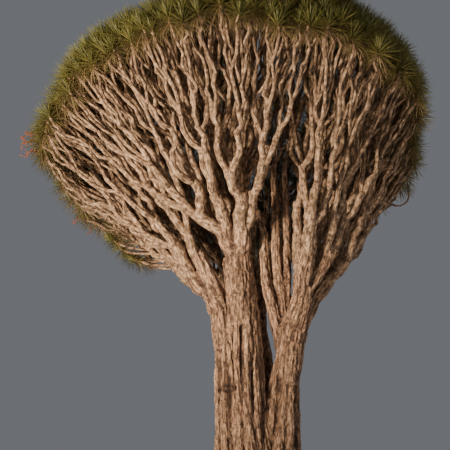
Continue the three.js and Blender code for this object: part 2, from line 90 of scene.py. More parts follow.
UNEVEN_HALVES = 0.16
CURVE_REACH = (0.38, 0.34)
HOOK = {"root": (5.75, 2.85, 10.8), "radius": 0.04, "vigour": 0.55}
HOOK_BENDS = [
    (0, 0), (0.45, 0.07), (0.89, 0.36), (1.10, 0.30), (1.37, 0.34), (1.64, 0.56), (1.75, 0.92), (1.75, 1.30),
]
FRUITING = ("left_1_1", "left_2_1", "left_2_2")

# The stems' dressing: ribs, and the bark's relief.
STEM_FOOT = -0.3  # below the ground, until the foot is cut flat
STEM_CORE = 0.8
STEM_RIB_REACH = 0.85
BOUGH_RIB_REACH = 0.84
BOUGH_RIBS = 6
BOUGH_ROOT = [(3.2, 0.76), (1.5, 0.94)]  # below its fork in stem radii, and share of its thickness
FORK_NARROWING = 0.36
FORK_BLEND = 1.4
JOINT_SPACING = 0.42  # between a limb's old growing points
KINK = 0.12
BARK_VOXEL = 0.0325
BARK_DEPTH = 0.04
MELT_ROUNDS = 4  # of smoothing, when limbs and ribs are one surface
# The hollows found with this smoothing are painted darker in the bark's colour, as shade.
HOLLOW_ROUNDS = 60  # of smoothing, to find the hollows between the ribs
PATTERN_GAP = 7.3  # from one limb's place in the bark's pattern to the next one's
SCAR = {"x": -0.97, "z": 2.25, "half_width": 0.24, "half_height": 0.1, "depth": 0.05}

# Wood that the stems and boughs don't account for, as lines of (x, y, z, radius): the web in the crotch
# of the right stem, a strand behind the gap beside it, and limbs that lean across that gap.
WEB = [
    (0.40, -0.34, -0.3, 0.46), (0.43, -0.30, 1.0, 0.42), (0.46, -0.24, 1.7, 0.34), (0.48, -0.14, 2.1, 0.20),
]
REAR_STRAND = [
    (0.45, 0.80, -0.3, 0.45), (0.50, 0.90, 1.5, 0.42), (0.48, 1.00, 3.0, 0.38), (0.37, 1.15, 4.2, 0.33),
    (0.22, 1.30, 5.2, 0.28),
]
LEANING_LIMBS = [
    [
        (1.10, -0.10, 3.4, 0.30), (0.98, -0.15, 4.3, 0.27), (0.72, -0.25, 5.2, 0.24),
        (0.47, -0.42, 6.1, 0.22), (0.36, -0.58, 7.0, 0.20), (0.50, -0.68, 8.2, 0.17),
        (0.38, -0.72, 9.3, 0.14),
    ],
    [
        (1.20, 0.00, 3.6, 0.34), (1.20, -0.10, 4.7, 0.30), (1.08, -0.20, 5.7, 0.26),
        (0.90, -0.35, 6.6, 0.23), (0.82, -0.50, 7.5, 0.20), (1.00, -0.60, 8.6, 0.17),
        (0.82, -0.65, 9.8, 0.15), (0.98, -0.70, 11.0, 0.13), (0.82, -0.70, 12.2, 0.11),
    ],
    [
        (1.20, 0.00, 4.4, 0.30), (1.18, -0.10, 5.3, 0.26), (1.32, -0.25, 6.5, 0.22),
        (1.26, -0.40, 7.8, 0.19), (1.44, -0.50, 9.2, 0.16), (1.28, -0.55, 10.6, 0.13),
        (1.42, -0.60, 12.0, 0.10),
    ],
]

# Stray twigs. The sprig stands on the hook, and its bends are (out, up) from the hook's root.
SPRIG_BENDS = [(0.89, 0.33), (0.86, 0.70), (0.94, 1.00), (0.99, 1.32), (1.03, 1.70)]
STRAY_STEPS = 30
LOW_SHOOTS = {"reach": (1.5, -0.1, -0.3), "sag": 0.12, "radius": 0.045, "vigour": 0.8, "steps": 14}
LOW_SHOOT_TIPS = [
    (-5.95, 1.5, 8.95), (-5.75, 0.9, 8.55), (-5.46, 1.2, 8.3), (-5.17, 1.6, 8.1), (-4.85, 1.3, 7.85),
    (-4.55, 2.0, 7.95), (-5.2, 2.2, 8.4),
]
TWIG_LUMPS = {"Sides": 8, "Lump height": 0.05, "Lump scale": 4.0}
SMOOTH_LIMB = {"Lump height": 0.0, "Lump scale": 1.0}

# Rosettes. A form of leaf has a droop and a fold. A kind has its ranks in the rosette, counted from the
# youngest leaf, its form, its colour and its paler tint.
LEAVES_IN_ROSETTE = 110
LEAF_LENGTH = 0.72
LEAF_WIDTH = 0.03
LEAFY_LENGTH = 0.22  # of the shoot, below its tip
LEAF_LEANS = (6, 126)
LEAN_POWER = 0.85
LEAF_FORMS = {"upright": (0.03, 0.5), "arched": (0.16, 0.45), "hanging": (0.34, 0.3)}
LEAF_KINDS = {
    "leaves_young": ((0, 34), "upright", (0.068, 0.072, 0.014), (0.17, 0.16, 0.038)),
    "leaves_grown": ((34, 70), "arched", (0.072, 0.068, 0.014), (0.21, 0.18, 0.046)),
    "leaves_old": ((70, 98), "arched", (0.11, 0.088, 0.022), (0.28, 0.215, 0.066)),
    "leaves_dry": ((98, LEAVES_IN_ROSETTE), "hanging", (0.15, 0.095, 0.042), (0.30, 0.20, 0.095)),
}

# Fruit.
PANICLES_IN_MASS = 3
PANICLE = {"reach": 0.72, "rise": 0.1, "sag": 0.42, "side_stalks": 16}
BERRY_RADIUS = 0.017
BERRIES_ON_STALK = 6
STALK_COLOUR = (0.42, 0.16, 0.05)
BERRY_COLOUR = (0.55, 0.13, 0.03)

# Colour ramps, as stops of (place, colour). Patches, streaks, pits and scars are multiplied in.
# The bark's colour by depth, with painted shade: darkest in the furrows and hollows, palest on the ridges.
BARK_COLOURS_AND_SHADE = [
    (0.0, (0.035, 0.018, 0.011)), (0.36, (0.12, 0.065, 0.038)), (0.56, (0.27, 0.16, 0.098)),
    (0.74, (0.37, 0.235, 0.15)), (1.0, (0.52, 0.37, 0.25)),
]
BARK_PATCHES = [(0.35, (0.84, 0.80, 0.76)), (0.62, (1.0, 1.0, 1.0))]
BARK_STREAKS = [(0.34, (0.3, 0.25, 0.21)), (0.47, (0.85, 0.85, 0.85)), (0.63, (1.75, 1.72, 1.68))]
BARK_PITS = [(0.34, (0.16, 0.12, 0.1)), (0.42, (1.0, 1.0, 1.0))]
TWIG_COLOURS = [
    (0.34, (0.05, 0.027, 0.015)), (0.46, (0.2, 0.118, 0.066)), (0.55, (0.30, 0.185, 0.108)),
    (0.66, (0.52, 0.35, 0.22)),
]
TWIG_SCARS = [(0.36, (0.4, 0.35, 0.3)), (0.5, (1.0, 1.0, 1.0))]

# The stage and the photograph's view, from below the tree's ground and tilted up.
FLOOR_COLOUR = (0.72, 0.71, 0.69, 1)
FLOOR_HEIGHT = -3.2
SKY_COLOUR = (0.88, 0.92, 1.0, 1)
SKY_STRENGTH = 0.17
LIT_POINT = (0, 0, 10.5)
SOFTBOX_SPREAD = math.radians(80)
CAMERA = {"place": (-1.08, -24.0, -1.6), "tilt": math.radians(90 + 23.5), "lens": 52, "sensor": 36}

UP = Vector((0, 0, 1))


def chance(a, b):
    """A fixed number between 0 and 1 for every pair of numbers."""
    s = math.sin(a * 12.9898 + b * 78.233) * 43758.5453
    return s - math.floor(s)


def blend(a, b, share):
    return a + (b - a) * share


# The skeleton.
class Limb:
    """One limb between two forks: its route, its radius and the limbs that grow from its end."""

    def __init__(self, path, shoots, fork, end, ahead, route):
        self.path = path
        self.name = "_".join(str(part) for part in path)
        self.forks_allowed = STEMS[path[0]]["forks"]
        self.depth = len(path) - 1
        self.count = len(shoots)
        self.key = shoots[0]["id"]
        self.fork = fork
        self.heading = fork["heading"]
        self.end = end
        self.ahead = ahead
        self.route = route
        self.radius = SHOOT_RADIUS * len(shoots) ** RADIUS_POWER
        self.forks = []

    @property
    def is_bough(self):
        return self.depth <= self.forks_allowed

    @property
    def mass(self):
        return "_".join(str(part) for part in self.path[:self.forks_allowed + 1])

    def point(self, share):
        a, b, c, d = self.route
        rest = 1 - share
        return a * rest ** 3 + b * 3 * share * rest ** 2 + c * 3 * share ** 2 * rest + d * share ** 3

    def thickness(self, share):
        return self.radius * blend(LIMB_TAPER[0], LIMB_TAPER[1], share)


def shell_point(u, v):
    """The point of the crown's shell over a place (u, v) of the unit disc."""
    rho = min(1.0, math.hypot(u, v))
    around = math.atan2(v, u)
    under = CROWN_UNDER + CROWN_UNDER_RIGHT * math.cos(around) + CROWN_UNDER_REAR * math.sin(around)
    from_top = 2 * math.asin(rho * math.sin(under / 2))
    waves = CROWN_LUMPS["waves"]
    lump = 1 + CROWN_LUMPS["height"] * math.sin(waves * u) * math.sin(waves * v)
    fullness = CROWN["fullness"] - CROWN_FULLER_RIGHT * math.cos(around)
    out = CROWN["radius"] * lump * max(0.0, math.sin(from_top)) ** fullness
    x = out * math.cos(around)
    y = out * math.sin(around)
    z = CROWN["z"] + CROWN["rise"] * lump * math.cos(from_top) + CROWN_TILT[0] * x + CROWN_TILT[1] * y
    return Vector((CROWN["x"] + x, CROWN["y"] + y, z))


def crown_shoots():
    jitter = SHOOT_JITTER / math.sqrt(SHOOTS)
    shoots = []
    for i in range(SHOOTS):
        rho = math.sqrt((i + 0.5) / SHOOTS)
        around = i * GOLDEN_ANGLE
        u = rho * math.cos(around) + jitter * (chance(i, 1) - 0.5) * 2
        v = rho * math.sin(around) + jitter * (chance(i, 2) - 0.5) * 2
        shoots.append({"id": i, "u": u, "v": v})
    return shoots


def stem_of(shoot):
    slant = RIGHT_STEM_SLANTS["front" if shoot["v"] < 0 else "rear"]
    if shoot["u"] > RIGHT_STEM_FROM + slant * abs(shoot["v"]):
        return "right"
    if shoot["u"] < LEFT_STEM_TO and shoot["v"] > LEFT_STEM_BEHIND:
        return "left"
    return "rear" if shoot["v"] > REAR_STEM_FROM else "centre"


def middle(shoots):
    u = sum(shoot["u"] for shoot in shoots) / len(shoots)
    v = sum(shoot["v"] for shoot in shoots) / len(shoots)
    return u, v


def halves(shoots):
    """Parts a limb's shoots in two about even lots, across their longer spread."""
    mid_u, mid_v = middle(shoots)
    uu = sum((shoot["u"] - mid_u) ** 2 for shoot in shoots)
    vv = sum((shoot["v"] - mid_v) ** 2 for shoot in shoots)
    uv = sum((shoot["u"] - mid_u) * (shoot["v"] - mid_v) for shoot in shoots)
    angle = 0.5 * math.atan2(2 * uv, uu - vv)
    ranked = sorted(shoots, key=lambda shoot: shoot["u"] * math.cos(angle) + shoot["v"] * math.sin(angle))
    share = 0.5 + UNEVEN_HALVES * (chance(ranked[0]["id"] + len(shoots), 3) - 0.5)
    cut = min(max(math.floor(len(shoots) * share + 0.5), 1), len(shoots) - 1)
    return ranked[:cut], ranked[cut:]


def fan_point(fan, mid, share):
    """The point a share of the way from a stem's top to the shell, on the fan of its limbs."""
    start = fan["start"]
    end = shell_point(*mid)
    out = share + fan["bow"] * math.sin(math.pi * share) * (1 - share)
    return Vector((blend(start.x, end.x, out), blend(start.y, end.y, out), blend(start.z, end.z, share)))


def limb_end(shoots, fan, here):
    mid = middle(shoots)
    last = len(shoots) == 1
    share = 1.0
    if not last:
        share = FAN_REACH * (1 - math.log(len(shoots)) / math.log(fan["total"])) ** FAN_POWER
    end = fan_point(fan, mid, share)
    before = fan_point(fan, mid, max(0, share - FAN_NEARBY))
    after = fan_point(fan, mid, min(1, share + FAN_NEARBY))
    ahead = ((after - before).normalized() + UP * UPTURN["shoot" if last else "limb"]).normalized()
    key = shoots[0]["id"] * 7 + len(shoots)
    wobble = Vector([chance(key, seed) - 0.5 for seed in (4, 5, 6)])
    if last:
        end += wobble * WOBBLE["shoot"]
    else:
        end += wobble * (end - here).length * WOBBLE["small" if len(shoots) < BIG_LIMB else "big"]
    return end, ahead


def limb_route(fork, shoots, end, ahead):
    """A limb leaves its fork sideways first and then turns to run along the fan."""
    chord = (end - fork["point"]).normalized()
    side = chord - fork["heading"] * chord.dot(fork["heading"])
    small = len(shoots) < BIG_LIMB
    leave = fork["heading"] + side * (1.8 if small else 0.7) + chord * (0.3 if small else 1)
    start = fork["point"] + side.normalized() * FORK_SPREAD * fork["radius"]
    span = (end - start).length
    early = start + leave.normalized() * span * CURVE_REACH[0]
    late = end - ahead * span * CURVE_REACH[1]
    return start, early, late, end


def grow_limb(limbs, shoots, fan, fork, path):
    """Grows one limb and, from its end, the two that follow it."""
    end, ahead = limb_end(shoots, fan, fork["point"])
    limb = Limb(path, shoots, fork, end, ahead, limb_route(fork, shoots, end, ahead))
    limbs.append(limb)
    if len(shoots) > 1:
        next_fork = {"point": end, "heading": ahead, "radius": limb.radius}
        for i, half in enumerate(halves(shoots)):
            limb.forks.append(grow_limb(limbs, half, fan, next_fork, path + (i + 1,)))
    return limb


def grow_tree():
    shoots = crown_shoots()
    limbs = []
    for name, stem in STEMS.items():
        own = [shoot for shoot in shoots if stem_of(shoot) == name]
        waist, top = (Vector(level[:3]) for level in stem["levels"][1:])
        fan = {"start": top, "total": len(own), "bow": stem["bow"]}
        fork = {"point": top, "heading": (top - waist).normalized(), "radius": stem["levels"][2][3]}
        for i, half in enumerate(halves(own)):
            grow_limb(limbs, half, fan, fork, (name, i + 1))
    return limbs


def stem_section(name, height):
    """A stem's middle and radius at any height, on a smooth bend through its three levels."""
    foot, waist, top = STEMS[name]["levels"]
    a = (height - waist[2]) * (height - top[2]) / ((foot[2] - waist[2]) * (foot[2] - top[2]))
    b = (height - foot[2]) * (height - top[2]) / ((waist[2] - foot[2]) * (waist[2] - top[2]))
    x, y, _, radius = (a * f + b * w + (1 - a - b) * t for f, w, t in zip(foot, waist, top))
    return Vector((x, y, height)), radius * (1 + FLARE * math.exp(-max(height, 0) / FLARE_HEIGHT))


# Lines: every limb, rib and stalk is a line of points that each have a thickness.
def kink(limb, joint):
    """How far a limb's old growing point stands out of line, the more the thinner the limb is."""
    size = KINK * min(1, 0.11 / limb.radius)
    turns = [chance(limb.key * 3 + limb.count, 20 + 3 * joint + i) - 0.5 for i in range(3)]
    return Vector(turns) * 2 * size


def limb_line(limb):
    """A limb's points: sunk in its parent, then from joint to joint, and rounded past its end."""
    length = (limb.end - limb.route[0]).length
    joints = max(2, round(length / JOINT_SPACING))
    thick = limb.thickness(0)
    if limb.depth == 1:
        down = limb.heading * limb.fork["radius"]
        line = [(limb.point(0) - down * below, thick * share) for below, share in BOUGH_ROOT]
    else:
        sunk = limb.fork["point"] - limb.heading * limb.fork["radius"] * 1.6
        line = [(sunk, thick * 0.5), (sunk.lerp(limb.point(0), 0.55), thick * 0.8)]
    bends = [Vector((0, 0, 0))] + [kink(limb, joint) for joint in range(1, joints)] + [Vector((0, 0, 0))]
    for step in range(2 * joints + 1):
        share = step / (2 * joints)
        low = bends[step // 2]
        high = bends[(step + 1) // 2]
        knob = 1.06 if step and step % 2 == 0 else 0.95
        swelling = 1 + 0.1 * math.exp(-((1 - share) * length / (1.6 * limb.radius)) ** 2)
        line.append((limb.point(share) + (low + high) / 2, limb.thickness(share) * knob * swelling))
    thick = line[-1][1]
    line.append((limb.end + limb.ahead * thick * 0.3, thick * 0.86))
    line.append((limb.end + limb.ahead * thick * 0.52, thick * 0.5))
    return line


def fork_narrowing(below):
    """How much of its girth a stem keeps so far below its fork, where its boughs begin to part."""
    return 1 - FORK_NARROWING * math.exp(-(below / FORK_BLEND) ** 2)


def stem_line(name):
    top = STEMS[name]["levels"][2][2]
    line = []
    for i in range(25):
        height = STEM_FOOT + (top - STEM_FOOT) * i / 24
        centre, radius = stem_section(name, height)
        line.append((centre, radius * STEM_CORE * fork_narrowing(top - height)))
    line.append((line[-1][0] + UP * 0.25, line[-1][1] * 0.7))
    return line


def eased(line, rounds):
    """A line with its corners and its changes of thickness rounded."""
    for _ in range(rounds):
        inner = [
            ((before[0] + here[0] * 2 + after[0]) / 4, (before[1] + here[1] * 2 + after[1]) / 4)
            for before, here, after in zip(line, line[1:], line[2:])
        ]
        line = [line[0]] + inner + [line[-1]]
    return line


def strand_line(bends):
    """A line from its bends, each (x, y, z, radius)."""
    return [(Vector((x, y, z)), thick) for x, y, z, thick in bends]


def leaning_line(bends, limbs):
    """A limb that leans from the right stem's fork into the nearest limb over its last bend."""
    line = strand_line(bends)
    tip, thick = line[-1]
    above = [limb.point(share / 8) for limb in limbs for share in range(9)]
    nearest = min((place for place in above if place.z > tip.z), key=lambda place: (place - tip).length)
    return eased(line + [(nearest, thick * 0.8)], 1)


def beside(point, tangent, facing, reach):
    """A point on a limb's flank, on the side that faces a way."""
    flank = facing - tangent * facing.dot(tangent)
    return point + flank.normalized() * reach


def rib_line(name, roots, number):
    """A rib that runs up a stem and on along the boughs which leave the stem on its side."""
    ribs = STEMS[name]["ribs"]
    turn = 2 * math.pi * (number + 0.4 * chance(number, 40)) / ribs
    width = math.pi / ribs * (0.66 + 0.26 * chance(number, 41))
    top = STEMS[name]["levels"][2][2]
    line = []
    for i in range(30):
        height = STEM_FOOT + (top + 0.1) * i / 29
        centre, radius = stem_section(name, height)
        angle = turn + 0.1 * math.sin(height * 1.3 + 6 * chance(number, 42)) + 0.05 * height
        facing = Vector((math.cos(angle), math.sin(angle), 0))
        breath = 1 + 0.12 * math.sin(height * 2.1 + 6 * chance(number, 43))
        radius *= fork_narrowing(top - height)
        line.append((centre + facing * radius * STEM_RIB_REACH, radius * width * breath))
    while roots and roots[0].is_bough:
        limb = max(roots, key=lambda root: (root.end - root.route[0]).normalized().dot(facing))
        for i in range(1, 9):
            share = i / 8
            tangent = (limb.point(min(1, share + 0.05)) - limb.point(share - 0.05)).normalized()
            thick = limb.thickness(share)
            place = beside(limb.point(share), tangent, facing, thick * BOUGH_RIB_REACH)
            line.append((place, thick * width * 1.35))
        roots = limb.forks
    return eased(line, 8)


def bough_rib_line(limb, number):
    """A rib along one bough, which sinks into it at both ends."""
    turn = 2 * math.pi * (number + 0.6 * chance(limb.key, 50 + number)) / BOUGH_RIBS
    first = limb.heading.orthogonal().normalized()
    second = limb.heading.cross(first)
    facing = first * math.cos(turn) + second * math.sin(turn)
    line = []
    for i in range(9):
        share = i / 8
        tangent = (limb.point(min(1, share + 0.05)) - limb.point(max(0, share - 0.05))).normalized()
        thick = limb.thickness(share)
        sunk = 0.86 - 0.3 * abs(2 * share - 1) ** 4
        line.append((beside(limb.point(share), tangent, facing, thick * sunk), thick * 0.25))
    return line


# Building blocks for meshes and geometry node trees.
def add_object(name, mesh):
    piece = bpy.data.objects.new(name, mesh)
    bpy.context.scene.collection.objects.link(piece)
    return piece


def line_object(name, lines):
    """A mesh of edges along the lines. Its points know their thickness, direction and distance run."""
    points, edges, thickness, axes, runs = [], [], [], [], []
    for number, line in enumerate(lines):
        first = len(points)
        edges += [(first + i, first + i + 1) for i in range(len(line) - 1)]
        run = PATTERN_GAP * number
        for i, (point, thick) in enumerate(line):
            ahead = line[min(i + 1, len(line) - 1)][0] - line[max(i - 1, 0)][0]
            run += (point - line[max(i - 1, 0)][0]).length
            points.append(point)
            thickness.append(thick)
            axes.append(ahead.normalized())
            runs.append(run)
    mesh = bpy.data.meshes.new(name)
    mesh.from_pydata(points, edges, [])
    mesh.attributes.new("thickness", "FLOAT", "POINT").data.foreach_set("value", thickness)
    mesh.attributes.new("run", "FLOAT", "POINT").data.foreach_set("value", runs)
    mesh.attributes.new("axis", "FLOAT_VECTOR", "POINT").data.foreach_set("vector", np.ravel(axes))
    mesh.attributes.new("seat", "FLOAT_VECTOR", "POINT").data.foreach_set("vector", np.ravel(points))
    return add_object(name, mesh)


def new_node(tree, kind, inputs=None, **settings):
    """A node with its settings made and each input linked to a socket or set to a plain value."""
    node = tree.nodes.new(kind)
    for key, value in settings.items():
        setattr(node, key, value)
    for label, source in (inputs or {}).items():
        if isinstance(source, bpy.types.NodeSocket):
            tree.links.new(source, node.inputs[label])
        else:
            node.inputs[label].default_value = source
    return node


class NodeTree:
    """A geometry node tree with named inputs, built node by node."""

    def __init__(self, name, inputs):
        self.tree = bpy.data.node_groups.new(name, "GeometryNodeTree")
        face = self.tree.interface
        face.new_socket("Geometry", in_out="INPUT", socket_type="NodeSocketGeometry")
        for label, kind in inputs.items():
            face.new_socket(label, in_out="INPUT", socket_type=f"NodeSocket{kind}")
        face.new_socket("Geometry", in_out="OUTPUT", socket_type="NodeSocketGeometry")
        self.inputs = self.tree.nodes.new("NodeGroupInput").outputs

    def add(self, kind, inputs=None, **settings):
        return new_node(self.tree, kind, inputs, **settings).outputs[0]

    def named(self, label, kind="FLOAT"):
        return self.add("GeometryNodeInputNamedAttribute", {"Name": label}, data_type=kind)

    def finish(self, geometry):
        """Realizes what is instanced, gives it its material and ends the tree."""
        real = self.add("GeometryNodeRealizeInstances", {"Geometry": geometry})
        painted = self.add("GeometryNodeSetMaterial", {
            "Geometry": real, "Material": self.inputs["Material"],
        })
        out = self.tree.nodes.new("NodeGroupOutput")
        self.tree.links.new(painted, out.inputs[0])
        return self.tree


def grow_mesh(piece, tree, values):
    """Runs a tree on a piece and keeps the result as the piece's plain mesh."""
    modifier = piece.modifiers.new("Grow", "NODES")
    modifier.node_group = tree
    for socket in tree.interface.items_tree:
        if socket.in_out == "INPUT" and socket.name in values:
            modifier[socket.identifier] = values[socket.name]
    grown = piece.evaluated_get(bpy.context.evaluated_depsgraph_get())
    mesh = bpy.data.meshes.new_from_object(grown)
    piece.modifiers.clear()
    piece.data = mesh
    return piece


def finish_piece(piece, nodes):
    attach(piece, "root")
    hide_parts(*nodes)


def limb_tree():
    """Round limbs along lines, with low lumps all over."""
    build = NodeTree("Limbs", {
        "Sides": "Int", "Lump height": "Float", "Lump scale": "Float", "Material": "Material",
    })
    curve = build.add("GeometryNodeMeshToCurve", {"Mesh": build.inputs["Geometry"]})
    ring = build.add("GeometryNodeCurvePrimitiveCircle", {
        "Resolution": build.inputs["Sides"], "Radius": 1.0,
    })
    tube = build.add("GeometryNodeCurveToMesh", {
        "Curve": curve, "Profile Curve": ring, "Scale": build.named("thickness"), "Fill Caps": True,
    })
    lumps = build.add("ShaderNodeTexNoise", {"Scale": build.inputs["Lump scale"], "Detail": 2.0})
    centred = build.add("ShaderNodeMath", {0: lumps, 1: 0.5}, operation="SUBTRACT")
    height = build.add("ShaderNodeMath", {0: centred, 1: build.inputs["Lump height"]}, operation="MULTIPLY")
    normal = build.add("GeometryNodeInputNormal")
    offset = build.add("ShaderNodeVectorMath", {0: normal, "Scale": height}, operation="SCALE")
    lumpy = build.add("GeometryNodeSetPosition", {"Geometry": tube, "Offset": offset})
    smooth = build.add("GeometryNodeSetShadeSmooth", {"Geometry": lumpy, "Shade Smooth": True})
    return build.finish(smooth)


def leaf_tree():
    """One leaf on every point, turned and sized by the point's attributes."""
    build = NodeTree("Leaves", {"Leaf": "Object", "Material": "Material"})
    leaf = new_node(build.tree, "GeometryNodeObjectInfo", {"Object": build.inputs["Leaf"]})
    turn = build.add("FunctionNodeEulerToRotation", {"Euler": build.named("turn", "FLOAT_VECTOR")})
    leaves = build.add("GeometryNodeInstanceOnPoints", {
        "Points": build.inputs["Geometry"],
        "Instance": leaf.outputs["Geometry"],
        "Rotation": turn,
        "Scale": build.named("size", "FLOAT_VECTOR"),
    })
    return build.finish(leaves)


def berry_tree():
    """One round berry on every point."""
    build = NodeTree("Berries", {"Radius": "Float", "Material": "Material"})
    berry = build.add("GeometryNodeMeshIcoSphere", {"Radius": build.inputs["Radius"], "Subdivisions": 1})
    berries = build.add("GeometryNodeInstanceOnPoints", {
        "Points": build.inputs["Geometry"], "Instance": berry,
    })
    return build.finish(berries)


# Bark.
def read_vectors(mesh, name):
    values = np.empty(len(mesh.vertices) * 3)
    mesh.attributes[name].data.foreach_get("vector", values)
    return values.reshape(-1, 3)


def add_twig_grain(mesh):
    """Gives each point of the twigs its place across and along its own limb, for the bark's pattern."""
    axes = read_vectors(mesh, "axis")
    offsets = read_vectors(mesh, "position") - read_vectors(mesh, "seat")
    runs = np.empty(len(mesh.vertices))
    mesh.attributes["run"].data.foreach_get("value", runs)
    sides = np.cross(axes, (0.31, 0.85, 0.12))
    sides /= np.linalg.norm(sides, axis=1, keepdims=True)
    grain = np.stack([
        np.sum(offsets * sides, axis=1),
        np.sum(offsets * np.cross(axes, sides), axis=1),
        runs,
    ], axis=1)
    mesh.attributes.new("grain", "FLOAT_VECTOR", "POINT").data.foreach_set("vector", grain.ravel())
    for name in ("axis", "seat", "run", "thickness"):
        if name in mesh.attributes:
            mesh.attributes.remove(mesh.attributes[name])


def limb_seats(lines):
    """Places along the limbs, each with the turn that stands the limb upright and the distance run."""
    seats = []
    for number, line in enumerate(lines):
        run = PATTERN_GAP * number
        for (here, thick), (there, _) in zip(line, line[1:]):
            upright = (there - here).rotation_difference(UP)
            seats.append((number, here.lerp(there, 0.5), upright, run, thick))
            run += (there - here).length
    return seats


def bark_height(place):
    """The bark's relief at a place across and along its limb: long furrows, cracks and plates."""
    across, deep, along = place
    furrow = 1 - 2 * abs(noise.noise(Vector((across * 4.5, deep * 4.5, along * 0.35))))
    crack = 1 - 2 * abs(noise.noise(Vector((across * 9 + 7, deep * 9, along * 1.1))))
    plate = noise.noise(Vector((across * 12, deep * 12, along * 3.5)))
    deep_lines = max(0, furrow - 0.62) / 0.38 + 0.6 * max(0, crack - 0.68) / 0.32
    return 0.6 * plate - deep_lines


def relief(mesh, lines):
    """The relief at every vertex, blended between the two nearest limbs so that it has no seams, and
    the vertex's place across and along the nearest."""
    seats = limb_seats(lines)
    tree = kdtree.KDTree(len(seats))
    for i, seat in enumerate(seats):
        tree.insert(seat[1], i)
    tree.balance()
    heights = np.empty(len(mesh.vertices))
    grains = np.empty((len(mesh.vertices), 3))
    for i, vertex in enumerate(mesh.vertices):
        nearest = {}
        for _, seat, distance in tree.find_n(vertex.co, 8):
            number, middle_point, upright, run, thick = seats[seat]
            if number not in nearest and len(nearest) < 2:
                place = upright @ (vertex.co - middle_point) + Vector((number, 0, run))
                nearest[number] = (bark_height(place), (thick / (distance + 0.01)) ** 8, place)
        weight = sum(share for _, share, _ in nearest.values())
        heights[i] = sum(height * share for height, share, _ in nearest.values()) / weight
        grains[i] = max(nearest.values(), key=lambda near: near[1])[2]
    return heights, grains


def scar_depth(places):
    """How far the old scar on the trunk's front is pressed in at each place."""
    across = (places[:, 0] - SCAR["x"]) / SCAR["half_width"]
    above = (places[:, 2] - SCAR["z"]) / SCAR["half_height"]
    ring = np.exp(-(np.hypot(across, above) - 1) ** 2 * 6)
    return np.where(places[:, 1] < 0, SCAR["depth"] * ring, 0)


def softened(piece, rounds):
    """The piece's mesh after rounds of smoothing."""
    soften = piece.modifiers.new("Soften", "SMOOTH")
    soften.factor = 0.5
    soften.iterations = rounds
    mesh = bpy.data.meshes.new_from_object(piece.evaluated_get(bpy.context.evaluated_depsgraph_get()))
    piece.modifiers.clear()
    return mesh


def carve_bark(piece, lines):
    """Moves the surface by its relief. For the bark's colour it keeps the relief, less the depth of the
    hollows between the ribs, so that furrows and hollows are painted darker as shade."""
    mesh = piece.data
    heights, grains = relief(mesh, lines)
    normals = np.empty(len(mesh.vertices) * 3)
    mesh.vertex_normals.foreach_get("vector", normals)
    normals = normals.reshape(-1, 3)
    places = read_vectors(mesh, "position")
    soft = softened(piece, HOLLOW_ROUNDS)
    hollow_shade_depth = np.sum((places - read_vectors(soft, "position")) * normals, axis=1)
    bpy.data.meshes.remove(soft)
    heights -= scar_depth(places) / BARK_DEPTH
    mesh.vertices.foreach_set("co", (places + normals * heights[:, None] * BARK_DEPTH).ravel())
    # Painted shade: the colour value falls with depth in the furrows, cracks and scar and in the hollows
    # between the ribs.
    shade = heights + hollow_shade_depth / BARK_DEPTH
    mesh.attributes.new("relief", "FLOAT", "POINT").data.foreach_set("value", shade)
    mesh.attributes.new("grain", "FLOAT_VECTOR", "POINT").data.foreach_set("vector", grains.ravel())
    mesh.update()


def cut_flat(mesh):
    """Cuts a mesh flat at the ground and closes the cut."""
    body = bmesh.new()
    body.from_mesh(mesh)
    everything = body.verts[:] + body.edges[:] + body.faces[:]
    cut = bmesh.ops.bisect_plane(
        body, geom=everything, plane_co=(0, 0, 0), plane_no=(0, 0, 1), clear_inner=True,
    )
    rim = [part for part in cut["geom_cut"] if isinstance(part, bmesh.types.BMEdge)]
    bmesh.ops.holes_fill(body, edges=rim, sides=0)
    bmesh.ops.recalc_face_normals(body, faces=body.faces[:])
    body.to_mesh(mesh)
    body.free()


def stem_piece(name, limbs, tree, bark):
    """One stem with its boughs: their tubes and ribs melted together, and carved as bark."""
    own = [limb for limb in limbs if limb.path[0] == name]
    boughs = [limb for limb in own if limb.is_bough]
    roots = [limb for limb in boughs if limb.depth == 1]
    cores = [stem_line(name)] + [limb_line(limb) for limb in boughs]
    if name == "right":
        cores += [strand_line(WEB)] + [leaning_line(bends, limbs) for bends in LEANING_LIMBS]
    if name == "rear":
        cores.append(strand_line(REAR_STRAND))
    ribs = [rib_line(name, roots, number) for number in range(STEMS[name]["ribs"])]
    ribs += [bough_rib_line(limb, number) for limb in boughs for number in range(BOUGH_RIBS)]
    piece = line_object(f"bark_{name}", cores + ribs)
    grow_mesh(piece, tree, {"Sides": 12, **SMOOTH_LIMB, "Material": bark})
    remesh = piece.modifiers.new("Melt", "REMESH")
    remesh.mode = "VOXEL"
    remesh.voxel_size = BARK_VOXEL
    piece.data = softened(piece, MELT_ROUNDS)
    carve_bark(piece, cores)
    cut_flat(piece.data)
    piece.data.materials.clear()
    piece.data.materials.append(bark)
    piece.data.shade_smooth()
    nodes = ["trunk", f"stem_{name}"] + [f"bough_{limb.name}" for limb in boughs]
    finish_piece(piece, nodes)


# Twigs.
def foliage_nodes(limbs):
    return sorted({f"foliage_{limb.mass}" for limb in limbs if not limb.is_bough})


def smooth_route(bends, count):
    """Points on a smooth curve through the bends."""
    knots = [bends[0]] + bends + [bends[-1]]
    points = []
    for i in range(count + 1):
        place = i / count * (len(bends) - 1)
        k = min(int(place), len(bends) - 2)
        t = place - k
        a, b, c, d = knots[k:k + 4]
        points.append(0.5 * (2 * b + (c - a) * t + (2 * a - 5 * b + 4 * c - d) * t * t
                             + (3 * b - a - 3 * c + d) * t ** 3))
    return points


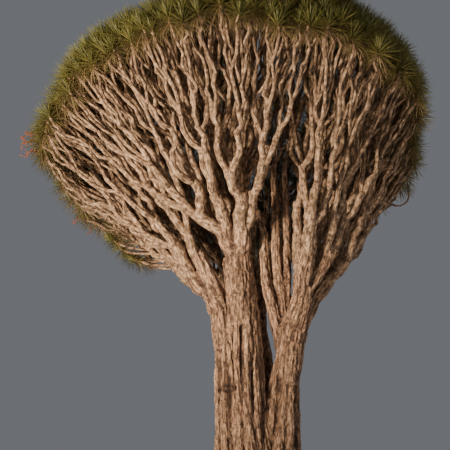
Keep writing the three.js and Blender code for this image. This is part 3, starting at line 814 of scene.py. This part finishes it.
def hook_lines(limbs):
    """The stray twig that hangs out of the crown and turns up again, from the twig nearest its root,
    and the sprig that stands on it."""
    places = [limb.point(share / 8) for limb in limbs for share in range(1, 9)]
    root = min(places, key=lambda place: (place - Vector(HOOK["root"])).length)
    lines = []
    for bends in (HOOK_BENDS, SPRIG_BENDS):
        points = smooth_route([root + Vector((out, 0, up)) for out, up in bends], STRAY_STEPS)
        lines.append([
            (point, HOOK["radius"] * blend(1.15, 0.9, i / STRAY_STEPS)) for i, point in enumerate(points)
        ])
    return lines


def low_shoot_lines(limbs):
    """The late shoots that hang below the left of the crown, each from the limb nearest its root."""
    places = [limb.point(share / 8) for limb in limbs if limb.path[0] == "left" for share in range(1, 9)]
    lines = []
    for tip in LOW_SHOOT_TIPS:
        end = Vector(tip)
        start = end + Vector(LOW_SHOOTS["reach"])
        root = min(places, key=lambda place: (place - start).length)
        knee = root.lerp(end, 0.6) - UP * LOW_SHOOTS["sag"]
        steps = LOW_SHOOTS["steps"]
        points = smooth_route([root, knee, end], steps)
        radius = LOW_SHOOTS["radius"]
        lines.append([(point, radius * blend(1.2, 0.9, i / steps)) for i, point in enumerate(points)])
    return lines


def build_twigs(limbs, tree):
    """The twigs of each stem, with the stray ones."""
    paint = twig_material()
    for name in STEMS:
        twigs = [limb for limb in limbs if limb.path[0] == name and not limb.is_bough]
        lines = [limb_line(limb) for limb in twigs]
        if name == "right":
            lines += hook_lines(limbs)
        if name == "left":
            lines += low_shoot_lines(limbs)
        piece = line_object(f"twigs_{name}", lines)
        grow_mesh(piece, tree, {**TWIG_LUMPS, "Material": paint})
        add_twig_grain(piece.data)
        finish_piece(piece, foliage_nodes(twigs))


# Leaves.
def leaf_object(name, droop, fold):
    """A sword-shaped leaf along +Z, one unit long, folded along its middle and bent over by its droop."""
    stations = [(0.0, 0.8), (0.5, 1.0), (1.0, 0.0)]
    half = LEAF_WIDTH / LEAF_LENGTH / 2
    points = []
    for share, width in stations:
        bend = -droop * share ** 2
        points.append((0, bend - fold * half * width, share))
        if width:
            points.append((-half * width, bend, share))
            points.append((half * width, bend, share))
    faces = [(0, 3, 4, 1), (2, 5, 3, 0), (3, 6, 4), (5, 6, 3)]
    mesh = bpy.data.meshes.new(name)
    mesh.from_pydata(points, [], faces)
    mesh.shade_smooth()
    return bpy.data.objects.new(name, mesh)


def leaf_turns(axes, overs):
    """Euler angles that lay +Z along each axis with the leaf's upper face towards over."""
    backs = overs - axes * np.sum(overs * axes, axis=1, keepdims=True)
    backs /= np.linalg.norm(backs, axis=1, keepdims=True)
    sides = np.cross(backs, axes)
    about_y = -np.arcsin(np.clip(sides[:, 2], -1, 1))
    about_x = np.arctan2(backs[:, 2], axes[:, 2])
    about_z = np.arctan2(sides[:, 1], sides[:, 0])
    return np.stack([about_x, about_y, about_z], axis=1)


def rosette_leaves(tips, first, last, rng):
    """Every rosette's leaves between two ranks, from the youngest at its heart to the oldest below."""
    seats, axes, overs, sizes = [], [], [], []
    for end, ahead, vigour in tips:
        across = ahead.orthogonal().normalized()
        over = ahead.cross(across)
        start = rng.uniform(0, 6.28)
        for rank in range(first, last):
            share = rank / LEAVES_IN_ROSETTE
            lean = math.radians(LEAF_LEANS[0] + LEAF_LEANS[1] * share ** LEAN_POWER + rng.normal(0, 6))
            around = start + rank * GOLDEN_ANGLE + rng.normal(0, 0.1)
            out = across * math.cos(around) + over * math.sin(around)
            direction = ahead * math.cos(lean) + out * math.sin(lean)
            seats.append(end - ahead * (0.02 + LEAFY_LENGTH * share) + out * 0.03)
            axes.append(direction.normalized())
            overs.append(ahead * math.sin(lean) - out * math.cos(lean) + ahead * 0.2)
            growth = 0.72 + 0.34 * min(1, share * 2.2)
            sizes.append(LEAF_LENGTH * vigour * growth * rng.uniform(0.88, 1.06))
    return np.array(seats), np.array(axes), np.array(overs), np.array(sizes)


def leaf_piece(name, tips, ranks, leaf, tree, material, nodes, seed):
    """All the leaves of one kind, each a leaf object stood on its seat."""
    seats, axes, overs, sizes = rosette_leaves(tips, *ranks, np.random.default_rng(seed))
    mesh = bpy.data.meshes.new(name)
    mesh.from_pydata(seats.tolist(), [], [])
    turns = leaf_turns(axes, overs)
    mesh.attributes.new("turn", "FLOAT_VECTOR", "POINT").data.foreach_set("vector", turns.ravel())
    scales = np.repeat(sizes, 3)
    mesh.attributes.new("size", "FLOAT_VECTOR", "POINT").data.foreach_set("vector", scales)
    piece = grow_mesh(add_object(name, mesh), tree, {"Leaf": leaf, "Material": material})
    finish_piece(piece, nodes)


def rosette_tips(limbs):
    """Where every rosette sits: the ends of the shoots, then of the stray twigs."""
    shoots = [limb for limb in limbs if limb.count == 1]
    tips = [(limb.end, limb.ahead, blend(0.88, 1.1, chance(limb.key, 60))) for limb in shoots]
    strays = [(line, HOOK["vigour"]) for line in hook_lines(limbs)]
    strays += [(line, LOW_SHOOTS["vigour"]) for line in low_shoot_lines(limbs)]
    for line, vigour in strays:
        tips.append((line[-1][0], (line[-1][0] - line[-3][0]).normalized(), vigour))
    return tips


def build_leaves(limbs):
    tips = rosette_tips(limbs)
    nodes = foliage_nodes(limbs)
    tree = leaf_tree()
    forms = {name: leaf_object(f"leaf_{name}", *form) for name, form in LEAF_FORMS.items()}
    for seed, (name, (ranks, form, colour, pale)) in enumerate(LEAF_KINDS.items()):
        material = leaf_material(name, colour, pale)
        leaf_piece(name, tips, ranks, forms[form], tree, material, nodes, seed)
    for leaf in forms.values():
        bpy.data.objects.remove(leaf)


# Fruit.
def fruiting_shoots(limbs):
    """The shoots of each fruiting mass that stand furthest out of the crown."""
    furthest = []
    for name in FRUITING:
        shoots = [limb for limb in limbs if limb.mass == name and limb.count == 1]
        shoots.sort(key=lambda limb: -math.hypot(limb.end.x - CROWN["x"], limb.end.y - CROWN["y"]))
        furthest += shoots[:PANICLES_IN_MASS]
    return furthest


def panicle_lines(limb, rng):
    """A hanging stalk with short side stalks."""
    out = Vector((limb.end.x - CROWN["x"], limb.end.y - CROWN["y"], 0)).normalized()
    root = limb.end - limb.ahead * 0.05
    stalk = [
        root + out * PANICLE["reach"] * t + UP * (PANICLE["rise"] * t - PANICLE["sag"] * t * t)
        for t in np.linspace(0, 1, 9)
    ]
    lines = [[(point, 0.012 - 0.006 * i / 8) for i, point in enumerate(stalk)]]
    for number in range(PANICLE["side_stalks"]):
        place = stalk[2 + number * 6 // 15]
        way = Vector(rng.normal(0, 1, 3)) + out * 0.5
        tip = place + way.normalized() * rng.uniform(0.1, 0.2)
        lines.append([(place, 0.006), (place.lerp(tip, 0.5), 0.005), (tip, 0.004)])
    return lines


def build_fruit(limbs, tree):
    """The stalks of all the bunches in one piece and their berries in another."""
    rng = np.random.default_rng(5)
    lines, seats = [], []
    fruiting = fruiting_shoots(limbs)
    for limb in fruiting:
        bunch = panicle_lines(limb, rng)
        lines += bunch
        for (start, _), _, (tip, _) in bunch[1:]:
            for share in np.linspace(0.25, 1.05, BERRIES_ON_STALK):
                seats.append(start.lerp(tip, share) + Vector(rng.normal(0, 0.014, 3)))
    nodes = sorted({f"foliage_{limb.mass}" for limb in fruiting})
    stalk_paint = plain_material("fruit_stalk", STALK_COLOUR, 0.6)
    berry_paint = plain_material("berry", BERRY_COLOUR, 0.45)
    stalks = line_object("fruit_stalks", lines)
    grow_mesh(stalks, tree, {"Sides": 4, **SMOOTH_LIMB, "Material": stalk_paint})
    finish_piece(stalks, nodes)
    mesh = bpy.data.meshes.new("berries")
    mesh.from_pydata(seats, [], [])
    fruit = add_object("berries", mesh)
    grow_mesh(fruit, berry_tree(), {"Radius": BERRY_RADIUS, "Material": berry_paint})
    finish_piece(fruit, nodes)


# Materials.
class Paint:
    """A material under construction, with short calls for its nodes."""

    def __init__(self, name, roughness):
        self.material = bpy.data.materials.new(name)
        self.material.use_nodes = True
        self.tree = self.material.node_tree
        self.shader = self.tree.nodes["Principled BSDF"]
        self.shader.inputs["Roughness"].default_value = roughness

    def add(self, kind, output=0, inputs=None, **settings):
        return new_node(self.tree, kind, inputs, **settings).outputs[output]

    def attribute(self, name, output):
        return self.add("ShaderNodeAttribute", output, attribute_name=name)

    def place(self):
        return self.add("ShaderNodeTexCoord", "Object")

    def noise(self, place, scale, detail, stretch=(1, 1, 1)):
        mapped = self.add("ShaderNodeMapping", 0, {"Vector": place, "Scale": stretch})
        return self.add("ShaderNodeTexNoise", 0, {"Vector": mapped, "Scale": scale, "Detail": detail})

    def ramp(self, factor, stops):
        node = new_node(self.tree, "ShaderNodeValToRGB", {"Fac": factor})
        steps = node.color_ramp.elements
        while len(steps) < len(stops):
            steps.new(0.5)
        for step, (place, colour) in zip(steps, stops):
            step.position = place
            step.color = (*colour, 1)
        return node.outputs["Color"]

    def mix(self, factor, first, second, kind="MIX"):
        """Two colours mixed. The node's sockets for colours are inputs 6 and 7 and output 2."""
        inputs = {0: factor, 6: first, 7: second}
        return self.add("ShaderNodeMix", 2, inputs, data_type="RGBA", blend_type=kind)

    def finish(self, colour, bump=None, strength=0.5, distance=0.02):
        self.tree.links.new(colour, self.shader.inputs["Base Color"])
        if bump:
            inputs = {"Height": bump, "Strength": strength, "Distance": distance}
            self.tree.links.new(self.add("ShaderNodeBump", 0, inputs), self.shader.inputs["Normal"])
        return self.material


def bark_material():
    """Tan bark with dark pits, its colour painted by depth as shade: dark in the furrows and hollows, paler
    on the ridges.
    """
    paint = Paint("dragon_tree_bark", 0.92)
    height = paint.attribute("relief", "Fac")
    grain = paint.attribute("grain", "Vector")
    # Painted shade: the colour ramp is driven by depth, so the furrows and hollows come out darker and the
    # ridges paler.
    depth = paint.add("ShaderNodeMapRange", 0, {"Value": height, "From Min": -2.0, "From Max": 1.5})
    colour = paint.ramp(depth, BARK_COLOURS_AND_SHADE)
    patches = paint.noise(grain, 0.9, 3.0, (1, 1, 0.5))
    colour = paint.mix(1.0, colour, paint.ramp(patches, BARK_PATCHES), "MULTIPLY")
    streaks = paint.noise(grain, 15.0, 5.0, (1, 1, 0.3))
    colour = paint.mix(1.0, colour, paint.ramp(streaks, BARK_STREAKS), "MULTIPLY")
    pits = paint.noise(grain, 22.0, 2.0, (1, 1, 0.6))
    colour = paint.mix(1.0, colour, paint.ramp(pits, BARK_PITS), "MULTIPLY")
    rough = paint.mix(0.5, streaks, pits)
    return paint.finish(colour, rough, 0.9, 0.04)


def twig_material():
    """The paler, smoother bark of the twigs, ringed by old leaf scars."""
    paint = Paint("twig_bark", 0.85)
    grain = paint.attribute("grain", "Vector")
    streaks = paint.noise(grain, 14.0, 4.0, (1, 1, 0.4))
    rings = paint.noise(grain, 5.0, 3.0, (0.6, 0.6, 1.6))
    colour = paint.ramp(streaks, TWIG_COLOURS)
    colour = paint.mix(0.8, colour, paint.ramp(rings, TWIG_SCARS), "MULTIPLY")
    height = paint.mix(0.5, streaks, rings)
    return paint.finish(colour, height, 0.7, 0.03)


def leaf_material(name, colour, pale):
    """Green or straw that varies from place to place between a colour and its paler tint."""
    paint = Paint(name, 0.55)
    place = paint.place()
    tint = paint.mix(0.5, paint.noise(place, 1.3, 2.0), paint.noise(place, 6.0, 2.0))
    return paint.finish(paint.ramp(tint, [(0.4, colour), (0.6, pale)]))


def plain_material(name, colour, roughness):
    """One colour with darker speckles."""
    paint = Paint(name, roughness)
    place = paint.place()
    speckle = paint.noise(place, 14.0, 2.0)
    darker = tuple(0.6 * part for part in colour)
    return paint.finish(paint.ramp(speckle, [(0.35, darker), (0.6, colour)]))


# The stage.
def stage_disc(name, radius, top, bottom, material):
    mesh = bpy.data.meshes.new(name)
    body = bmesh.new()
    bmesh.ops.create_cone(
        body, cap_ends=True, segments=96, radius1=radius, radius2=radius, depth=top - bottom,
        matrix=Matrix.Translation((0, 0, (top + bottom) / 2)),
    )
    body.to_mesh(mesh)
    body.free()
    mesh.materials.append(material)
    disc = add_object(name, mesh)


def sun(name, direction, strength, angle, colour):
    light = bpy.data.lights.new(name, "SUN")
    light.energy = strength
    light.angle = math.radians(angle)
    light.color = colour
    lamp = bpy.data.objects.new(name, light)
    lamp.rotation_euler = Vector(direction).to_track_quat("-Z", "Y").to_euler()
    bpy.context.scene.collection.objects.link(lamp)


def softbox(name, place, size, power, colour):
    light = bpy.data.lights.new(name, "AREA")
    light.shape = "RECTANGLE"
    light.size, light.size_y = size
    light.energy = power
    light.color = colour
    light.spread = SOFTBOX_SPREAD
    lamp = bpy.data.objects.new(name, light)
    lamp.location = place
    lamp.rotation_euler = (Vector(LIT_POINT) - Vector(place)).to_track_quat("-Z", "Y").to_euler()
    bpy.context.scene.collection.objects.link(lamp)


def build_stage():
    """A pale floor with a plinth for the tree, and warm light from below on the left."""
    pale = Paint("studio_floor", 0.9)
    pale.shader.inputs["Base Color"].default_value = FLOOR_COLOUR
    stage_disc("plinth", 3.0, -0.002, FLOOR_HEIGHT, pale.material)
    stage_disc("floor", 45.0, FLOOR_HEIGHT, FLOOR_HEIGHT - 0.1, pale.material)
    world = bpy.data.worlds.new("studio")
    world.use_nodes = True
    sky = world.node_tree.nodes["Background"].inputs
    sky["Color"].default_value = SKY_COLOUR
    sky["Strength"].default_value = SKY_STRENGTH
    bpy.context.scene.world = world
    softbox("key", (-14.5, -15.5, 0.5), (4, 3), 2450, (1.0, 0.86, 0.68))
    softbox("fill", (14.0, -16.0, 0.0), (6, 6), 100, (1.0, 0.88, 0.72))
    sun("top", (0.2, 0.3, -1.0), 1.6, 30, (1.0, 0.95, 0.86))
    sun("back", (0.3, -1.0, -0.5), 0.9, 30, (0.95, 0.96, 1.0))


def build_camera():
    data = bpy.data.cameras.new("camera")
    data.sensor_width = CAMERA["sensor"]
    data.lens = CAMERA["lens"]
    data.clip_end = 500
    camera = bpy.data.objects.new("camera", data)
    camera.location = CAMERA["place"]
    camera.rotation_euler = (CAMERA["tilt"], 0, 0)
    bpy.context.scene.collection.objects.link(camera)
    bpy.context.scene.camera = camera


def main():
    build_camera()
    build_stage()
    limbs = grow_tree()
    bark = bark_material()
    tree = limb_tree()
    for name in STEMS:
        stem_piece(name, limbs, tree, bark)
    build_twigs(limbs, tree)
    build_leaves(limbs)
    build_fruit(limbs, tree)


main()
